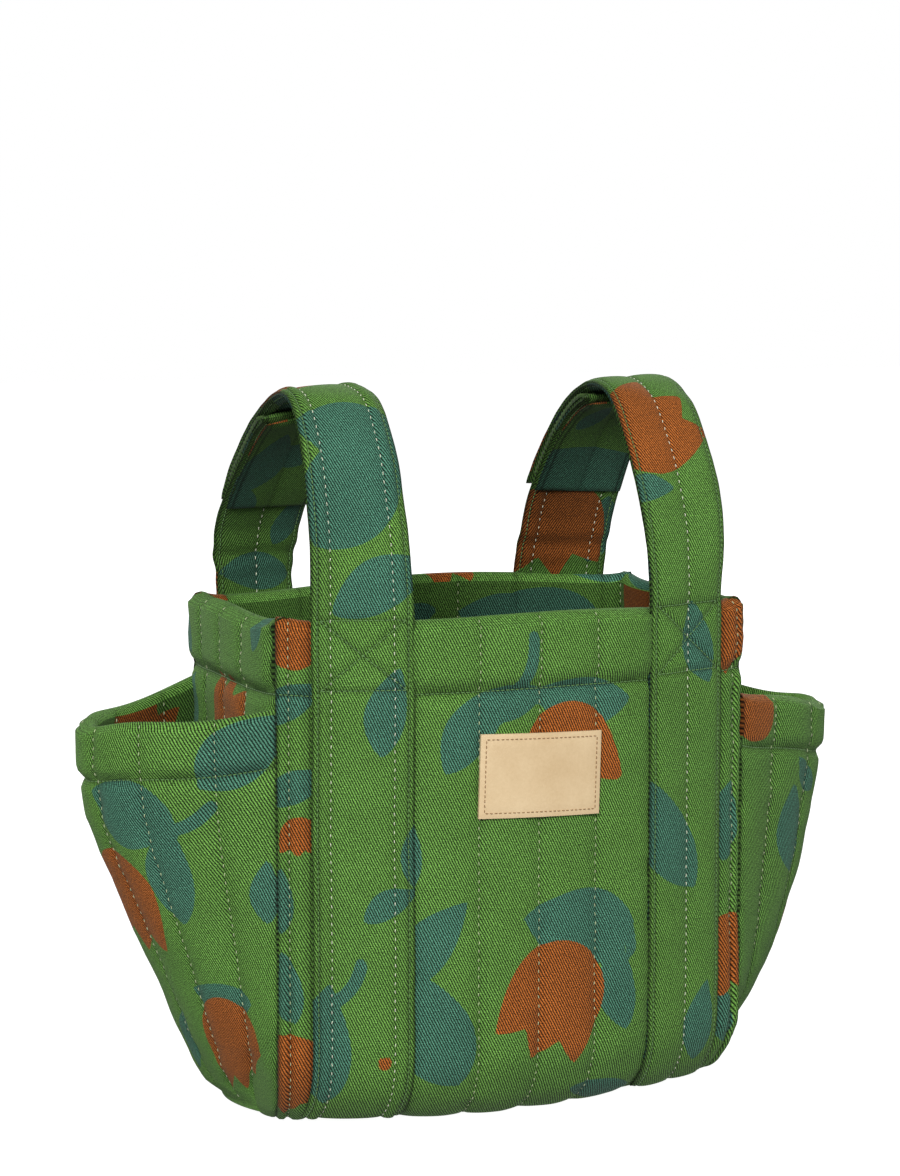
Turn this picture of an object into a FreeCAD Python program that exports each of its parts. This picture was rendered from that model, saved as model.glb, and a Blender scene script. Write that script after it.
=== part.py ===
"""Quilted picking bag with two side pockets and two hook-and-loop strap loops.

The bag is sewn from five quilted panels. Each panel is three layers: a printed outer cloth, wadding
and a printed lining. Two wedge-shaped pockets stand out from the sides. On each half of the bag a
strap is sewn up the front panel, stands above the rim and arches over to the back, where its end
flap grips a shorter tongue that stands up from the back panel.

Frame: millimetres, +Z up, +X to the wearer's right along the front panel, and the front panel faces
-Y. The origin is on the surface that the bag stands on, under the middle of the body.
"""

import FreeCAD, Part
import math
import os

V = FreeCAD.Vector
os.makedirs("parts", exist_ok=True)

# ---- driving dimensions, in mm ----
HEIGHT = 250.0  # floor to rim
HALF_WIDTH = 125.0  # the body's corner, along X
HALF_DEPTH = 62.0  # the body's corner, along Y
FRONT_BULGE = 28.0  # how far the front and back panels belly out between their corners
SIDE_BULGE = 3.0  # how far the side panels belly out
CORNER = 12.0  # size of the rounded upright corners
BOTTOM_RADIUS = 38.0  # the panels turn under towards the base on this radius

CLOTH = 1.0  # printed cloth, outer or lining
WADDING = 4.0  # wadding between the two cloths
WALL = CLOTH + WADDING + CLOTH
RIM_HEM = 35.0  # depth of the turned-in hem at the rim
POCKET_HEM = 24.0  # depth of the pocket's turned-in hem

STRAP_INNER = 64.0  # X of the strap's edge nearer the middle
STRAP_OUTER = 110.0  # X of the strap's edge nearer the corner
STRAP_WIDTH = STRAP_OUTER - STRAP_INNER
BAND_THICK = 4.5  # sewn strap on the panels
STRAP_THICK = 5.0  # standing strap
FLAP_THICK = 4.5
TAPE = 1.2  # hook tape and loop tape, each
TAPE_GAP = 0.3  # between the two tapes when closed
FACING = 3.0  # the tongue's end, turned back on itself
COVER = 0.8  # cloth round a strap's wadding
TAPE_MARGIN = 4.0  # strap left bare at each side of a tape

LABEL_HALF = 32.0  # half the label's width
LABEL_LOW, LABEL_HIGH = 153.0, 194.0
LABEL_THICK = 1.6
LABEL_INSET = 3.0  # from the label's edge to its stitching
STITCH_PITCH = 2.6
STITCH_LENGTH = 1.6
THREAD = 0.6

POCKET_RIM = 206.0  # pocket mouth where it meets the body's corners
POCKET_DROP = 20.0  # how much lower the mouth is at its outermost point
POCKET_REACH = 208.0  # X of the mouth's outermost point
POCKET_FLOOR = 3.0  # underside of the pocket
POCKET_NOSE = 24.0  # half the width of the pocket's rounded outer end

SEAM_GAP = 0.3  # clearance between pieces on different bodies
SEWN_GAP = 0.05  # between a tape or facing and the strap it is sewn to
STRAP_FOOT = HEIGHT + 0.5  # where the standing straps begin, just over the rim
FAR = 400.0


# ---- small helpers ----
def save(name, shape):
    """Writes one node and reports its volume."""
    solids = shape.Solids
    out = solids[0] if len(solids) == 1 else Part.makeCompound(solids)
    assert solids and out.isValid(), name
    out.exportStep(f"parts/{name}.step")
    print(f"{name}: {len(solids)} solid(s), {sum(s.Volume for s in solids) / 1000:.1f} cm3")


def mirror_x(shape):
    return shape.mirror(V(0, 0, 0), V(1, 0, 0))


def mirror_y(shape):
    return shape.mirror(V(0, 0, 0), V(0, 1, 0))


def block(x0, x1, y0, y1, z0, z1):
    return Part.makeBox(x1 - x0, y1 - y0, z1 - z0, V(x0, y0, z0))


def arc(a, b, c):
    return Part.Arc(a, b, c).toShape()


def prism(points, axis):
    """A closed polygon swept along axis."""
    return Part.Face(Part.makePolygon([*points, points[0]])).extrude(axis)


# ---- the body's outer form ----
def turn_under(z):
    """How far the panels have turned in at height z above the bottom of the rounding."""
    if z >= BOTTOM_RADIUS:
        return 0.0
    rise = BOTTOM_RADIUS - z
    return BOTTOM_RADIUS - math.sqrt(BOTTOM_RADIUS**2 - rise**2)


def body_section(inset, z):
    """The body's outline, drawn in by inset all round, as a closed wire at height z."""
    a, b = HALF_WIDTH - inset, HALF_DEPTH - inset
    front_x, front_y = a - CORNER, b + CORNER * 0.5
    side_y = b - CORNER * 0.5
    edges = []
    quarter = [V(-front_x, -front_y, z), V(0, -b - FRONT_BULGE, z), V(front_x, -front_y, z)]
    corner = [quarter[2], V(a - CORNER * 0.28, -b - CORNER * 0.1, z), V(a, -side_y, z)]
    side = [corner[2], V(a + SIDE_BULGE, 0, z), V(a, side_y, z)]
    edges.append(arc(*quarter))
    edges.append(arc(*corner))
    edges.append(arc(*side))
    edges.append(arc(side[2], V(corner[1].x, -corner[1].y, z), V(front_x, front_y, z)))
    edges.append(arc(V(front_x, front_y, z), V(0, b + FRONT_BULGE, z), V(-front_x, front_y, z)))
    edges.append(arc(V(-front_x, front_y, z), V(-corner[1].x, -corner[1].y, z), V(-a, side_y, z)))
    edges.append(arc(V(-a, side_y, z), V(-a - SIDE_BULGE, 0, z), V(-a, -side_y, z)))
    edges.append(arc(V(-a, -side_y, z), V(-corner[1].x, corner[1].y, z), quarter[0]))
    return Part.Wire(edges)


def body_form(inset, top=HEIGHT):
    """The body as a solid, drawn in by inset on the sides and the underside."""
    heights = [0.0, 2.0, 5.0, 10.0, 20.0, BOTTOM_RADIUS]
    wires = [body_section(turn_under(z) + inset, z + inset) for z in heights]
    wires.append(body_section(inset, top))
    return Part.makeLoft(wires, True, True)


FORM = {t: body_form(t) for t in (0.0, CLOTH, CLOTH + WADDING)}
FORM_TALL = body_form(0.0, HEIGHT + 10)
CAVITY = body_form(WALL, HEIGHT + 10)


# ---- where one panel ends and the next begins ----
DIAGONAL_X, DIAGONAL_Y = 31.0, 36.0  # run of the upright corner seams, seen from above
MEET_X = 61.0  # where the corner seams' planes cross the middle of the depth
REACH = 5.0
CORNER_FAR = V(MEET_X + REACH * DIAGONAL_X, -REACH * DIAGONAL_Y, -1)
UP = V(0, 0, FAR)
FRONT_REGION = prism(
    [V(-MEET_X, 0, -1), V(MEET_X, 0, -1), CORNER_FAR, V(-CORNER_FAR.x, CORNER_FAR.y, -1)], UP
)
RIGHT_REGION = prism([V(MEET_X, 0, -1), CORNER_FAR, V(CORNER_FAR.x, -CORNER_FAR.y, -1)], UP)
BASE_TOP = 22.0
BASE_REGION = Part.Face(body_section(BOTTOM_RADIUS, -1)).extrude(V(0, 0, BASE_TOP))


def panels(layer):
    """One layer of the body, cut along the seams into its five panels."""
    walls = layer.cut(BASE_REGION)
    return {
        "front": walls.common(FRONT_REGION),
        "back": walls.common(mirror_y(FRONT_REGION)),
        "side_right": walls.common(RIGHT_REGION),
        "side_left": walls.common(mirror_x(RIGHT_REGION)),
        "base": layer.common(BASE_REGION),
    }


def body_panels():
    top = block(-FAR, FAR, -FAR, FAR, HEIGHT - CLOTH, HEIGHT + 20)  # left for the hem's fold
    layers = {
        "outer": FORM[0.0].cut(FORM[CLOTH]),
        "wadding": FORM[CLOTH].cut(FORM[CLOTH + WADDING]),
        "lining": FORM[CLOTH + WADDING].cut(CAVITY),
    }
    for layer_name, layer in layers.items():
        for panel_name, panel in panels(layer.cut(top)).items():
            save(f"{panel_name}_{layer_name}", panel)


def rim_facing():
    """The hem: cloth over the rim's edge and down inside it."""
    inside = CAVITY.cut(body_form(WALL + CLOTH, HEIGHT + 10))
    inside = inside.common(block(-FAR, FAR, -FAR, FAR, HEIGHT - RIM_HEM, HEIGHT - CLOTH))
    fold = FORM_TALL.cut(body_form(WALL + CLOTH, HEIGHT + 20))
    fold = fold.common(block(-FAR, FAR, -FAR, FAR, HEIGHT - CLOTH, HEIGHT))
    save("rim_facing", inside.fuse(fold))


# ---- the strap bands sewn to the front and back panels, and their box stitching ----
BAND_FOOT = 1.0
BAND_FORM = body_form(-BAND_THICK, HEIGHT)
THREAD_FORM = body_form(-BAND_THICK - THREAD, HEIGHT)
BOX_LOW, BOX_HIGH = HEIGHT - RIM_HEM - 2.0, HEIGHT - 3.0
BOX_SIDE = 3.0  # box stitching, in from the band's edges


def stitch_bar(x0, z0, x1, z1, width):
    """A thin bar from one point of the front face to another, swept through the panel."""
    run = math.hypot(x1 - x0, z1 - z0)
    dx, dz = (z1 - z0) / run * width / 2, -(x1 - x0) / run * width / 2
    corners = [(x0 + dx, z0 + dz), (x1 + dx, z1 + dz), (x1 - dx, z1 - dz), (x0 - dx, z0 - dz)]
    return prism([V(x, -FAR / 2, z) for x, z in corners], V(0, FAR / 2, 0))


def bands():
    column = block(STRAP_INNER, STRAP_OUTER, -FAR, 0, BAND_FOOT, HEIGHT)
    band = BAND_FORM.cut(FORM_TALL).common(column)
    x0, x1 = STRAP_INNER + BOX_SIDE, STRAP_OUTER - BOX_SIDE
    bars = [
        stitch_bar(x0, BOX_LOW, x1, BOX_LOW, THREAD),
        stitch_bar(x0, BOX_HIGH, x1, BOX_HIGH, THREAD),
        stitch_bar(x0, BOX_LOW, x0, BOX_HIGH, THREAD),
        stitch_bar(x1, BOX_LOW, x1, BOX_HIGH, THREAD),
        stitch_bar(x0, BOX_LOW, x1, BOX_HIGH, THREAD),
        stitch_bar(x0, BOX_HIGH, x1, BOX_LOW, THREAD),
    ]
    skin = THREAD_FORM.cut(BAND_FORM).common(block(0, FAR, -FAR, 0, BOX_LOW - 5, HEIGHT))
    box = skin.common(bars[0].fuse(bars[1:]))
    for side, turn in (("right", lambda s: s), ("left", mirror_x)):
        save(f"front_band_{side}", turn(band))
        save(f"back_band_{side}", turn(mirror_y(band)))
        save(f"front_box_thread_{side}", turn(box))
        save(f"back_box_thread_{side}", turn(mirror_y(box)))


# ---- the label ----
def label():
    plate = body_form(-LABEL_THICK).cut(FORM_TALL)
    plate = plate.common(block(-LABEL_HALF, LABEL_HALF, -FAR, 0, LABEL_LOW, LABEL_HIGH))
    save("label", plate)
    x1, z0, z1 = LABEL_HALF - LABEL_INSET, LABEL_LOW + LABEL_INSET, LABEL_HIGH - LABEL_INSET
    across = int(2 * x1 / STITCH_PITCH)
    upright = int((z1 - z0) / STITCH_PITCH)
    half = STITCH_LENGTH / 2
    bars = []
    for k in range(across):
        x = -x1 + (k + 0.5) * 2 * x1 / across
        bars += [stitch_bar(x - half, z, x + half, z, THREAD) for z in (z0, z1)]
    for k in range(upright):
        z = z0 + (k + 0.5) * (z1 - z0) / upright
        bars += [stitch_bar(x, z - half, x, z + half, THREAD) for x in (-x1, x1)]
    skin = body_form(-LABEL_THICK - THREAD / 2).cut(body_form(-LABEL_THICK))
    skin = skin.common(block(-LABEL_HALF, LABEL_HALF, -FAR, 0, LABEL_LOW, LABEL_HIGH))
    save("label_thread", Part.makeCompound([s for b in bars for s in skin.common(b).Solids]))


# ---- side pockets ----
# Height above the pocket's underside, and how far short of the mouth's reach the wall is there.
POCKET_PROFILE = (
    (0, 80),
    (3, 71),
    (9, 63),
    (19, 56),
    (37, 49),
    (57, 40),
    (77, 31),
    (107, 20),
    (147, 8),
    (212, -3),
)


def pocket_section(height, short, inset):
    """The right pocket's outline at one height; it closes inside the body."""
    z = POCKET_FLOOR + height + (inset if height < BOTTOM_RADIUS else 0)
    under = turn_under(min(z, BOTTOM_RADIUS))
    out = POCKET_REACH - short - inset
    root_y = HALF_DEPTH - under - 1 - inset
    root_x = HALF_WIDTH - under - 6
    nose_y = min(POCKET_NOSE, root_y * 0.62) - inset * 0.6
    nose_x = out - 13
    mid_x = (root_x + nose_x) / 2
    mid_y = (root_y + nose_y) / 2 + 3
    inner = root_x - 20
    return Part.Wire(
        [
            Part.makeLine(V(inner, root_y, z), V(inner, -root_y, z)),
            Part.makeLine(V(inner, -root_y, z), V(root_x, -root_y, z)),
            arc(V(root_x, -root_y, z), V(mid_x, -mid_y, z), V(nose_x, -nose_y, z)),
            arc(V(nose_x, -nose_y, z), V(out, 0, z), V(nose_x, nose_y, z)),
            arc(V(nose_x, nose_y, z), V(mid_x, mid_y, z), V(root_x, root_y, z)),
            Part.makeLine(V(root_x, root_y, z), V(inner, root_y, z)),
        ]
    )


def pocket_form(inset):
    return Part.makeLoft([pocket_section(h, s, inset) for h, s in POCKET_PROFILE], True, True)


def above_mouth(drop):
    """Everything above a plane that lies drop below the pocket's sloping mouth."""
    slope = POCKET_DROP / (POCKET_REACH - HALF_WIDTH)

    def mouth(x):
        return POCKET_RIM - drop - slope * (x - HALF_WIDTH)

    x0, x1 = HALF_WIDTH - 60, POCKET_REACH + 40
    outline = [V(x0, -FAR, mouth(x0)), V(x1, -FAR, mouth(x1)), V(x1, -FAR, FAR), V(x0, -FAR, FAR)]
    return prism(outline, V(0, 2 * FAR, 0))


def pockets():
    straps_below = BAND_FORM.common(block(STRAP_INNER, STRAP_OUTER, -FAR, FAR, 0, HEIGHT))
    sewn_over = FORM_TALL.fuse(straps_below)
    forms = [pocket_form(t) for t in (0, CLOTH, CLOTH + WADDING, WALL, WALL + CLOTH)]
    edge = above_mouth(CLOTH)
    pieces = {
        "outer": forms[0].cut(forms[1]).cut(edge),
        "wadding": forms[1].cut(forms[2]).cut(edge),
        "lining": forms[2].cut(forms[3]).cut(edge),
    }
    inside = forms[3].cut(forms[4]).cut(edge).common(above_mouth(POCKET_HEM))
    fold = forms[0].cut(forms[4]).cut(above_mouth(0)).common(edge)
    pieces["facing"] = inside.fuse(fold)
    for name, piece in pieces.items():
        piece = piece.cut(sewn_over)
        save(f"pocket_right_{name}", piece)
        save(f"pocket_left_{name}", mirror_x(piece))


# ---- standing straps ----
# Outer face of each strap, as (Y, Z) from the rim to its end.
FRONT_PATH = ((-83, STRAP_FOOT), (-83, 275), (-81, 300), (-73, 324), (-57, 344), (-35, 356), (-10, 360))
FLAP_PATH = ((-10, 360), (10, 356.5), (32, 342), (50, 322), (62, 303), (67, 293.5))
TONGUE_DEPTH = FLAP_THICK + TAPE + TAPE_GAP + TAPE  # flap's face down to the tongue's face
TONGUE_ROOT = ((69, 276), (74.5, 263), (76.5, STRAP_FOOT))  # below the flap's end
SAMPLES = 16


def curve_through(points):
    curve = Part.BSplineCurve()
    curve.interpolate([V(0, y, z) for y, z in points])
    return curve


def offset_points(points, depth, start=0.0, end=1.0):
    """Points on the curve through points, moved depth towards the inside of the arch."""
    curve = curve_through(points)
    found = []
    for k in range(SAMPLES + 1):
        u = curve.FirstParameter + (curve.LastParameter - curve.FirstParameter) * (
            start + (end - start) * k / SAMPLES
        )
        along = curve.tangent(u)[0]
        p = curve.value(u)
        found.append((p.y + along.z * depth, p.z - along.y * depth))
    return found


def strip(points, shallow, deep, margin=0.0, start=0.0, end=1.0):
    """A strap's width of material between two depths under the curve through points."""
    x0, x1 = STRAP_INNER + margin, STRAP_OUTER - margin
    rails = [curve_through(offset_points(points, d, start, end)).toShape() for d in (shallow, deep)]
    near, far = ([e.valueAt(e.FirstParameter), e.valueAt(e.LastParameter)] for e in rails)
    ends = [Part.makeLine(near[1], far[1]), Part.makeLine(far[0], near[0])]
    face = Part.Face(Part.Wire([rails[0], ends[0], rails[1], ends[1]]))
    solid = face.extrude(V(x1 - x0, 0, 0))
    solid.translate(V(x0, 0, 0))
    return solid


def covered(points, thick, start=0.0):
    """A strap as its cloth cover and the wadding inside it."""
    wadding = strip(points, COVER, thick - COVER, COVER, start + 0.01, 0.99)
    return strip(points, 0, thick, 0, start).cut(wadding), wadding


def straps():
    crown_gap = SEAM_GAP / curve_through(FLAP_PATH).length()
    tongue_path = list(offset_points(FLAP_PATH, TONGUE_DEPTH))[::2] + list(TONGUE_ROOT)
    closed = 1 - len(TONGUE_ROOT) / (len(tongue_path) - 1)  # share of the tongue under the flap
    front_cover, front_wadding = covered(FRONT_PATH, STRAP_THICK)
    flap_cover, flap_wadding = covered(FLAP_PATH, FLAP_THICK, crown_gap)
    back_cover, back_wadding = covered(tongue_path, BAND_THICK)
    loop_face, hook_face = FLAP_THICK + TAPE, TONGUE_DEPTH - TAPE
    loop_tape = strip(FLAP_PATH, FLAP_THICK + SEWN_GAP, loop_face, TAPE_MARGIN, 0.05, 0.95)
    hook_tape = strip(FLAP_PATH, hook_face, TONGUE_DEPTH - SEWN_GAP, TAPE_MARGIN, 0.05, 0.95)
    facing_face = BAND_THICK + FACING
    facing = strip(tongue_path, BAND_THICK + SEWN_GAP, facing_face, COVER, 0.0, closed)
    nodes = {
        "front_strap_cover": front_cover,
        "front_strap_wadding": front_wadding,
        "end_flap_cover": flap_cover,
        "end_flap_wadding": flap_wadding,
        "loop_tape": loop_tape,
        "back_strap_cover": back_cover,
        "back_strap_wadding": back_wadding,
        "hook_tape": hook_tape,
        "back_strap_facing": facing,
    }
    for name, solid in nodes.items():
        save(f"{name}_right", solid)
        save(f"{name}_left", mirror_x(solid))


body_panels()
rim_facing()
bands()
label()
pockets()
straps()
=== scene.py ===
"""Looks of a quilted cloth picking bag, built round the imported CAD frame.

Every sewn piece is one closed mesh made from a grid: its first index runs along the piece and its
second runs round it, over the outer face and back over the inner face. Lengths are in millimetres
until a mesh is made, and metres in Blender. Two UV maps carry the cloth: "cloth" is the place on the
flat cloth in metres, and "print" is the distance in millimetres to the nearest leaf and tulip of the
print, which the cloth material turns into colour.
"""

import math

import bpy
import numpy as np
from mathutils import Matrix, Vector, noise


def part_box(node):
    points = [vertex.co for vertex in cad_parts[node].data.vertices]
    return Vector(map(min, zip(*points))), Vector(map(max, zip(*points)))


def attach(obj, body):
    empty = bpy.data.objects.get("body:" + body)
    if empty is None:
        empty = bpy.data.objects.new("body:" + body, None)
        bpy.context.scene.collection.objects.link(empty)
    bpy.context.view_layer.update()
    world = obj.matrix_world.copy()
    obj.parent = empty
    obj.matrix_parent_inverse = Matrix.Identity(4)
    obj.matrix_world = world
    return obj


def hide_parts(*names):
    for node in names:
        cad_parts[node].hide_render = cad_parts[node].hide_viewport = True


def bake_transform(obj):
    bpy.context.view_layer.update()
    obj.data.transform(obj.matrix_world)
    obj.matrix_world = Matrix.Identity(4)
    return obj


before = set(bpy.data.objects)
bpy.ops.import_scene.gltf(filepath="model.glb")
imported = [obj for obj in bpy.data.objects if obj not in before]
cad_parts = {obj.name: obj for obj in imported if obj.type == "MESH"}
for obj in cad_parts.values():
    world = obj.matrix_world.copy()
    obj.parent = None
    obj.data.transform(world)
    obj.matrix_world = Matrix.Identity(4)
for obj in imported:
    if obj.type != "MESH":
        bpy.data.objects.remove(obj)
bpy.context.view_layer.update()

MM = 0.001
SIDES = (("left", -1), ("right", 1))


def box_mm(node):
    return [np.array(corner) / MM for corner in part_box(node)]


# ---- sizes, from the frame where it holds them ----
FRONT_BULGE = 28.0
SIDE_BULGE = 3.0
BOTTOM_RADIUS = 38.0
WALL = 7.0
_rim = box_mm("rim_facing")
RIM = _rim[1][2]
HALF_WIDTH = _rim[1][0] - SIDE_BULGE
HALF_DEPTH = _rim[1][1] - FRONT_BULGE
HEM = _rim[1][2] - _rim[0][2]
_band = box_mm("front_band_right")
STRAP_IN, STRAP_OUT = _band[0][0], _band[1][0]
STRAP_HALF = (STRAP_OUT - STRAP_IN) / 2 + 1.2
POCKET_REACH = box_mm("pocket_right_outer")[1][0]
POCKET_HEM = 24.0
CURL = BOTTOM_RADIUS * (math.pi / 2 - 1)  # how much longer the wall is than it is tall


# ---- noise and profiles ----
def fractal(u, v, scale, seed=0.0, octaves=3):
    """Smooth noise from about -1 to 1 at places (u, v), in mm; scale is its wavelength."""
    u, v = np.broadcast_arrays(np.asarray(u, float), np.asarray(v, float))
    found = [
        noise.fractal((a / scale, b / scale, seed), 0.6, 2.0, octaves)
        for a, b in zip(u.ravel(), v.ravel())
    ]
    return np.array(found).reshape(u.shape)


def smooth(x, low, high):
    t = np.clip((np.asarray(x, float) - low) / (high - low), 0, 1)
    return t * t * (3 - 2 * t)


def channels(u, lines):
    """0 on each line and 1 midway between lines, with the full cheeks of a quilted channel."""
    lines = np.asarray(lines, float)
    u = np.asarray(u, float)
    k = np.clip(np.searchsorted(lines, u) - 1, 0, len(lines) - 2)
    q = (u - lines[k]) / (lines[k + 1] - lines[k])
    return np.maximum(1 - np.abs(2 * np.clip(q, 0, 1) - 1) ** 2.2, 0) ** 0.62


def line_distance(u, lines):
    return np.min([np.abs(np.asarray(u, float) - line) for line in lines], axis=0)


def bell(x, width):
    """1 where x is 0, and next to nothing two widths away."""
    return np.exp(-((x / width) ** 2))


def index_at(place, places):
    """The fractional index of a place among rising places."""
    return np.interp(place, places, np.arange(len(places)))


def pairs(a, b):
    """(a, b) at every point of a grid."""
    return np.stack(np.meshgrid(a, b, indexing="ij"), -1)


def spread(lines, step):
    """Grid places from the first line to the last, no further apart than step, with every line on it."""
    places = [lines[0]]
    for a, b in zip(lines, lines[1:]):
        n = max(2, math.ceil((b - a) / step))
        places += list(a + (b - a) * np.arange(1, n + 1) / n)
    return np.array(places)


def unit(v):
    return v / np.maximum(np.linalg.norm(v, axis=-1, keepdims=True), 1e-9)


def curve_through(points, count):
    """count points, evenly spaced, on a smooth curve through points."""
    p = np.array(points, float)
    p = np.vstack([2 * p[0] - p[1], p, 2 * p[-1] - p[-2]])
    out = []
    for a, b, c, d in zip(p, p[1:], p[2:], p[3:]):
        square, cube = 2 * a - 5 * b + 4 * c - d, 3 * b - a - 3 * c + d
        out += [0.5 * (2 * b + (c - a) * t + square * t**2 + cube * t**3) for t in np.arange(24) / 24]
    line = np.array([*out, p[-2]])
    along = lengths(line)
    return at_places(line, along, np.linspace(0, along[-1], count))


def lengths(line):
    return np.concatenate([[0], np.cumsum(np.linalg.norm(np.diff(line, axis=0), axis=1))])


def at_places(values, along, places):
    """values, given at the lengths along, at other places."""
    return np.stack([np.interp(places, along, k) for k in values.T], axis=-1)


# ---- the print: generic leaves, stems and tulips ----
def leaf(x, y, size, wide=0.46):
    t = np.clip(y / size + 0.5, 0.001, 0.999)
    half = size * wide / 2 * np.sin(math.pi * t**0.85) ** 0.85
    bent = x + size * 0.06 * np.sin(math.pi * t)
    return np.maximum(np.abs(bent) - half, np.abs(y) - size / 2)


def stem(x, y, size, wide=6.6):
    bent = x - size * 0.10 * np.cos(math.pi * y / size)
    return np.hypot(bent, np.maximum(np.abs(y) - size / 2, 0)) - wide / 2


def petal(x, y, size, tilt):
    """A petal that springs from the flower's foot and leans by tilt degrees."""
    c, s = math.cos(math.radians(tilt)), math.sin(math.radians(tilt))
    px, py = c * x - s * (y + 0.42 * size), s * x + c * (y + 0.42 * size)
    t = np.clip(py / (0.94 * size), 0.001, 0.999)
    half = 0.30 * size * np.sin(math.pi * t**0.62) ** 0.8
    return np.maximum(np.abs(px) - half, np.abs(py - 0.47 * size) - 0.47 * size)


def tulip(x, y, size):
    cup = (np.hypot(x / 0.40, (y + 0.16 * size) / 0.36) - size) * 0.36
    petals = [petal(x, y, size, tilt) for tilt in (-25, 0, 25)]
    return np.minimum(cup, np.min(petals, axis=0))


def broad(x, y, size):
    return leaf(x, y, size, 0.66)


SHAPES = {"leaf": leaf, "broad": broad, "stem": stem, "tulip": tulip}
# One repeat of the printed cloth: shape, place, turn in degrees and size.
TILE = (150.0, 170.0)
REPEAT = (
    ("tulip", 34, 40, 200, 48), ("leaf", 42, 78, 75, 52), ("leaf", 72, 44, 15, 50),
    ("leaf", 98, 120, -50, 56), ("stem", 78, 112, -20, 34), ("leaf", 58, 128, 40, 46),
    ("tulip", 122, 68, 30, 44), ("leaf", 130, 20, 100, 46), ("leaf", 22, 146, -15, 44),
)


def print_fields(u, v, motifs):
    """How far, in mm, each place on the cloth is from the nearest leaf and from the nearest tulip."""
    teal, rust = np.full(u.shape, 30.0), np.full(u.shape, 30.0)
    for shape, u0, v0, turn, size in motifs or REPEAT:
        x, y = u - u0, v - v0
        if motifs is None:
            x = (x + TILE[0] / 2) % TILE[0] - TILE[0] / 2
            y = (y + TILE[1] / 2) % TILE[1] - TILE[1] / 2
        c, s = math.cos(math.radians(turn)), math.sin(math.radians(turn))
        field = SHAPES[shape](c * x + s * y, c * y - s * x, size)
        if shape == "tulip":
            rust = np.minimum(rust, field)
        else:
            teal = np.minimum(teal, field)
    return teal, rust


# ---- meshes from grids ----
def placed(name, data):
    """A new object in the scene."""
    made = bpy.data.objects.new(name, data)
    bpy.context.scene.collection.objects.link(made)
    return made


def declare(made, bodies, replaced=()):
    """bodies is the one body that it rides, or two bodies and the ends of the blend between them; for
    two bodies the piece's transform is only baked in.
    """
    if isinstance(bodies, str):
        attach(made, bodies)
    else:
        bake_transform(made)
    if replaced:
        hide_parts(*replaced)


def make_tube(
    name, points, cloth, material, outer=None, inner=None, turn_at=None, seams=None, reverse=None
):
    """A closed mesh from points[along, round], capped at both ends.

    cloth[along, round + 1] is the place on the flat cloth. Columns of the grid before turn_at are
    printed with the motifs in outer and the rest with inner; None is the repeating print.
    seams[along, round] is how far each point is from a seam and from a quilting line, which the cloth
    material turns into painted shade in the creases. reverse is the material of the inner columns,
    where it differs: a darker copy of the cloth that paints shade on them.
    """
    na, nr = points.shape[:2]
    turn_at = nr // 2 if turn_at is None else turn_at
    a, r = np.meshgrid(np.arange(na - 1), np.arange(nr), indexing="ij")
    a, r = a.ravel(), r.ravel()
    after = (r + 1) % nr
    quads = np.stack([a * nr + r, (a + 1) * nr + r, (a + 1) * nr + after, a * nr + after], 1)
    places = np.stack([cloth[a, r], cloth[a + 1, r], cloth[a + 1, r + 1], cloth[a, r + 1]], 1)
    side = r < turn_at
    k = np.arange(nr // 2 - 1)
    for end, flip in ((0, False), (na - 1, True)):
        cap = np.stack([k, k + 1, nr - 2 - k, nr - 1 - k], 1)
        flat = np.stack([cloth[end, k], cloth[end, k + 1], cloth[end, k + 1], cloth[end, k]], 1)
        cap, flat = (cap[:, ::-1], flat[:, ::-1]) if flip else (cap, flat)
        quads = np.vstack([quads, cap + end * nr])
        places = np.vstack([places, flat])
        side = np.concatenate([side, np.ones(len(k), bool)])
    flat_points = points.reshape(-1, 3)
    corners = flat_points[quads]
    spans = np.cross(corners[:, 1], corners[:, 2]) + np.cross(corners[:, 2], corners[:, 3])
    if (corners[:, 0] * spans).sum() < 0:  # the faces turn inwards
        quads, places = quads[:, ::-1], places[:, ::-1]
    mesh = bpy.data.meshes.new(name)
    mesh.from_pydata((flat_points * MM).tolist(), [], quads.tolist())
    mesh.polygons.foreach_set("use_smooth", [True] * len(quads))
    fields = np.empty((*places.shape[:2], 2))
    for chosen, motifs in ((side, outer), (~side, inner)):
        teal, rust = print_fields(places[chosen][..., 0], places[chosen][..., 1], motifs)
        fields[chosen] = np.stack([teal, rust], -1)
    mesh.uv_layers.new(name="cloth").uv.foreach_set("vector", (places * MM).ravel())
    mesh.uv_layers.new(name="print").uv.foreach_set("vector", fields.ravel())
    if seams is not None:
        mesh.uv_layers.new(name="seams").uv.foreach_set("vector", seams.reshape(-1, 2)[quads].ravel())
    mesh.set_sharp_from_angle(angle=math.radians(62))
    mesh.materials.append(material)
    if reverse is not None:
        mesh.materials.append(reverse)
        mesh.polygons.foreach_set("material_index", (~side).astype(np.int32))
    return placed(name, mesh)


def normals_of(surface):
    """Unit normals of a grid surface[a, b]."""
    along, across = np.gradient(surface, axis=0), np.gradient(surface, axis=1)
    return unit(np.cross(along, across))


RIM_ROWS = 5
ROLLED = 0.6  # how much fuller a rolled rim is than the wall under it


def wall(surface, out, thick, puff_out, puff_in, rim_puff):
    """Outer face up, over a rolled rim and down the inner face: points[a, round]."""
    n = normals_of(surface) * out
    outer = surface + n * puff_out[..., None]
    inner = surface - n * (thick + puff_in)[..., None]
    top, below = surface[:, -1], surface[:, -2]
    rise, nt = unit(top - below), n[:, -1]
    middle, half = top - nt * thick[:, -1:] / 2, thick[:, -1:] / 2 + rim_puff
    turns = math.pi * np.arange(1, RIM_ROWS + 1) / (RIM_ROWS + 1)
    rim = [middle + nt * half * math.cos(t) + rise * half * math.sin(t) * 0.9 for t in turns]
    return np.concatenate([outer, np.stack(rim, 1), inner[:, ::-1]], axis=1)


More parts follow.
